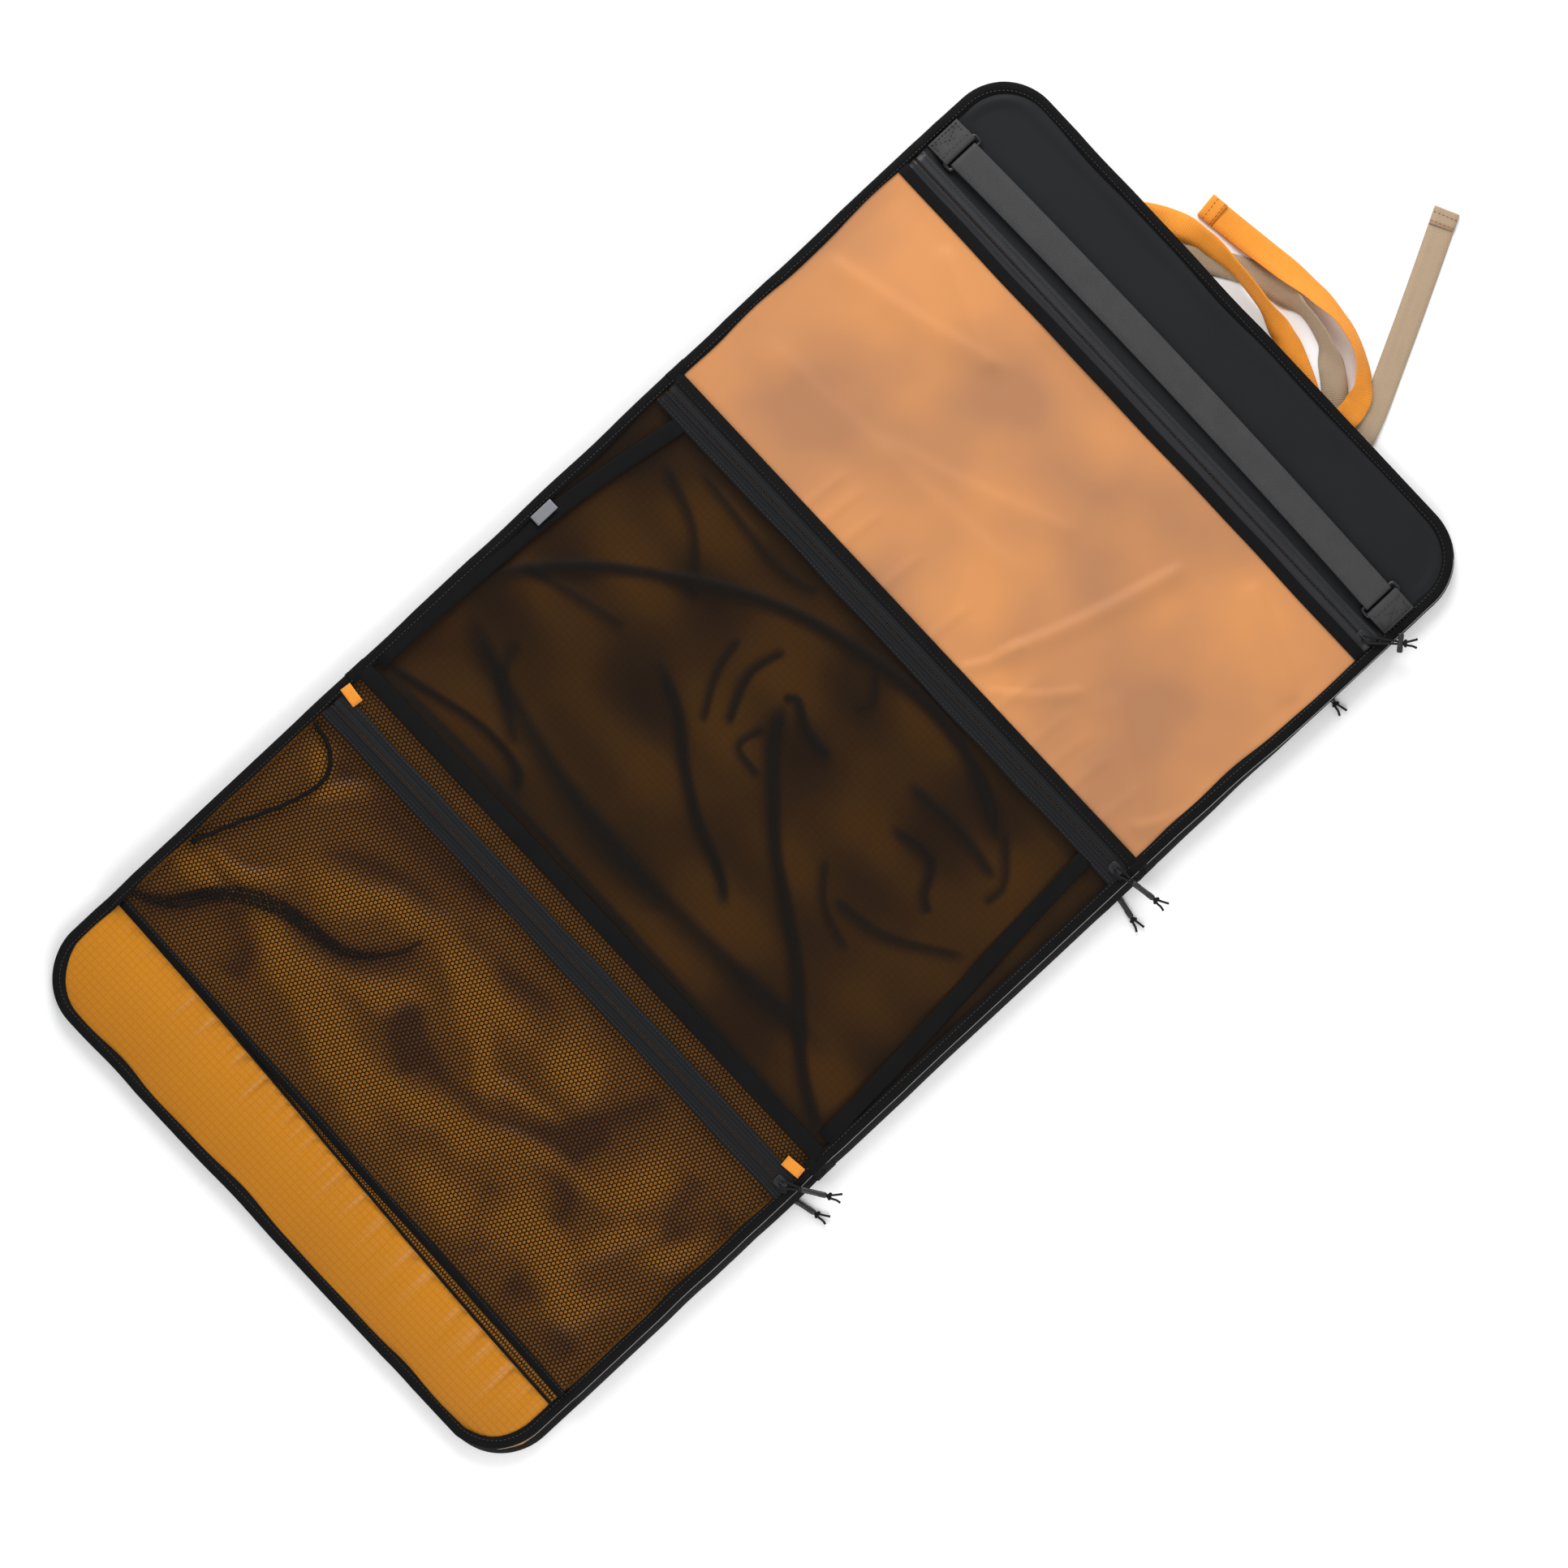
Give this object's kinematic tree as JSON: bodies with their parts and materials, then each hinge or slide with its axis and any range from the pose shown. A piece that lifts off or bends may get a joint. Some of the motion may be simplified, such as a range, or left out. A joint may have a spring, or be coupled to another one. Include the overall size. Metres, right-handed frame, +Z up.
{
  "type": "fold-out packing organiser",
  "caption": "Tri-fold packing organiser, lying open: three zipped pocket panels of mesh and frosted film, a head with a webbing handle, and two tie straps.",
  "frame": {"origin": "on the table, under the middle of the opened organiser, without its straps and zip pulls", "axes": "+X across the panels to the side where the zips close, +Y along the organiser to its head, +Z up from the table"},
  "size_m": [0.5493, 1.1756, 0.0232],
  "materials": {
    "back_polyester": "dark charcoal woven polyester",
    "orange_ripstop": "orange nylon ripstop",
    "binding_tape": "black woven binding tape",
    "hexagonal_mesh": "black knitted hexagonal net",
    "tricot_mesh": "fine black tricot mesh",
    "frosted_film": "frosted TPU film over orange cloth",
    "window_gusset_fabric": "black woven side wall",
    "coated_head_fabric": "black coated cloth, satin",
    "zip_tape": "black woven zip tape",
    "sealed_zip_tape": "laminated water-resistant zip tape",
    "zip_coil": "black polyester coil",
    "handle_webbing": "dark grey woven webbing",
    "ring_plastic": "black moulded acetal",
    "orange_strap": "orange woven webbing",
    "tan_strap": "tan striped webbing",
    "tab_ribbon": "orange ribbon",
    "label_cloth": "grey woven label, blank",
    "slider_metal": "black painted die-cast zinc",
    "pull_cord": "black braided cord",
    "pull_plastic": "black moulded sleeve"
  },
  "bodies": {
    "middle_panel": {"middle_back_sheet": "back_polyester", "middle_lining": "orange_ripstop", "middle_side_binding": "binding_tape", "fine_mesh_front": "tricot_mesh", "fine_mesh_gusset": "tricot_mesh", "fine_mesh_seam_tape": "binding_tape", "fine_zip_tape": "zip_tape", "fine_zip_coil": "zip_coil", "side_label": "label_cloth", "middle_back_zip": "zip_tape", "lower_spine": "back_polyester", "upper_spine": "back_polyester"},
    "lower_panel": {"lower_back_sheet": "back_polyester", "lower_lining": "orange_ripstop", "lower_edge_binding": "binding_tape", "mesh_side_binding": "binding_tape", "mesh_front": "hexagonal_mesh", "mesh_gusset": "hexagonal_mesh", "mesh_hem_tape": "binding_tape", "mesh_zip_tape": "zip_tape", "mesh_zip_coil": "zip_coil", "mesh_zip_end_tabs": "tab_ribbon", "lower_back_zip": "zip_tape"},
    "upper_panel": {"upper_back_sheet": "back_polyester", "upper_lining": "orange_ripstop", "window_side_binding": "binding_tape", "head_edge_binding": "binding_tape", "window_sheet": "frosted_film", "window_gusset": "window_gusset_fabric", "window_tapes": "binding_tape", "head_panel": "coated_head_fabric", "head_zip_tape": "sealed_zip_tape", "head_zip_coil": "zip_coil", "handle_strap": "handle_webbing", "handle_anchor_tabs": "handle_webbing", "handle_rings": "ring_plastic", "upper_back_zip": "zip_tape", "tie_strap_orange": "orange_strap", "tie_strap_tan": "tan_strap"},
    "mesh_slider": {"mesh_slider": "slider_metal"},
    "mesh_pull": {"mesh_pull_cord": "pull_cord", "mesh_pull_end": "pull_plastic"},
    "fine_slider": {"fine_slider": "slider_metal"},
    "fine_pull": {"fine_pull_cord": "pull_cord", "fine_pull_end": "pull_plastic"},
    "head_slider": {"head_slider": "slider_metal"},
    "head_pull": {"head_pull_cord": "pull_cord", "head_pull_end": "pull_plastic"},
    "low_back_slider": {"low_back_slider": "slider_metal"},
    "low_back_pull": {"low_back_pull_cord": "pull_cord", "low_back_pull_end": "pull_plastic"},
    "mid_back_slider": {"mid_back_slider": "slider_metal"},
    "mid_back_pull": {"mid_back_pull_cord": "pull_cord", "mid_back_pull_end": "pull_plastic"},
    "up_back_slider": {"up_back_slider": "slider_metal"},
    "up_back_pull": {"up_back_pull_cord": "pull_cord", "up_back_pull_end": "pull_plastic"}
  },
  "joints": [
    {"name": "lower_fold", "type": "hinge", "parent": "middle_panel", "child": "lower_panel", "pos_m": [0, -0.1665, 0.0172], "axis": [-1, 0, 0], "range_deg": [0, 180]},
    {"name": "upper_fold", "type": "hinge", "parent": "middle_panel", "child": "upper_panel", "pos_m": [0, 0.1625, 0.0269], "axis": [1, 0, 0], "range_deg": [0, 180]},
    {"name": "mesh_zip_slide", "type": "slide", "parent": "lower_panel", "child": "mesh_slider", "axis": [-1, 0, 0], "range_m": [0, 0.482]},
    {"name": "mesh_pull_swing", "type": "hinge", "parent": "mesh_slider", "child": "mesh_pull", "pos_m": [0.2432, -0.1965, 0], "axis": [0, 0, 1], "range_deg": [-80, 0]},
    {"name": "fine_zip_slide", "type": "slide", "parent": "middle_panel", "child": "fine_slider", "axis": [-1, 0, 0], "range_m": [0, 0.482]},
    {"name": "fine_pull_swing", "type": "hinge", "parent": "fine_slider", "child": "fine_pull", "pos_m": [0.2432, 0.147, 0], "axis": [0, 0, 1], "range_deg": [-60, 5]},
    {"name": "head_zip_slide", "type": "slide", "parent": "upper_panel", "child": "head_slider", "axis": [-1, 0, 0], "range_m": [0, 0.482]},
    {"name": "head_pull_swing", "type": "hinge", "parent": "head_slider", "child": "head_pull", "pos_m": [0.2432, 0.4005, 0], "axis": [0, 0, 1], "range_deg": [-90, 25]},
    {"name": "low_back_zip_slide", "type": "slide", "parent": "lower_panel", "child": "low_back_slider", "axis": [-1, 0, 0], "range_m": [0, 0.482]},
    {"name": "low_back_pull_swing", "type": "hinge", "parent": "low_back_slider", "child": "low_back_pull", "pos_m": [0.2432, -0.2025, 0], "axis": [0, 0, 1], "range_deg": [-28, 4]},
    {"name": "mid_back_zip_slide", "type": "slide", "parent": "middle_panel", "child": "mid_back_slider", "axis": [-1, 0, 0], "range_m": [0, 0.482]},
    {"name": "mid_back_pull_swing", "type": "hinge", "parent": "mid_back_slider", "child": "mid_back_pull", "pos_m": [0.2432, 0.1375, 0], "axis": [0, 0, 1], "range_deg": [-8, 14]},
    {"name": "up_back_zip_slide", "type": "slide", "parent": "upper_panel", "child": "up_back_slider", "axis": [-1, 0, 0], "range_m": [0, 0.452]},
    {"name": "up_back_pull_swing", "type": "hinge", "parent": "up_back_slider", "child": "up_back_pull", "pos_m": [0.2282, 0.3565, 0], "axis": [0, 0, 1], "range_deg": [-8, 40]}
  ]
}
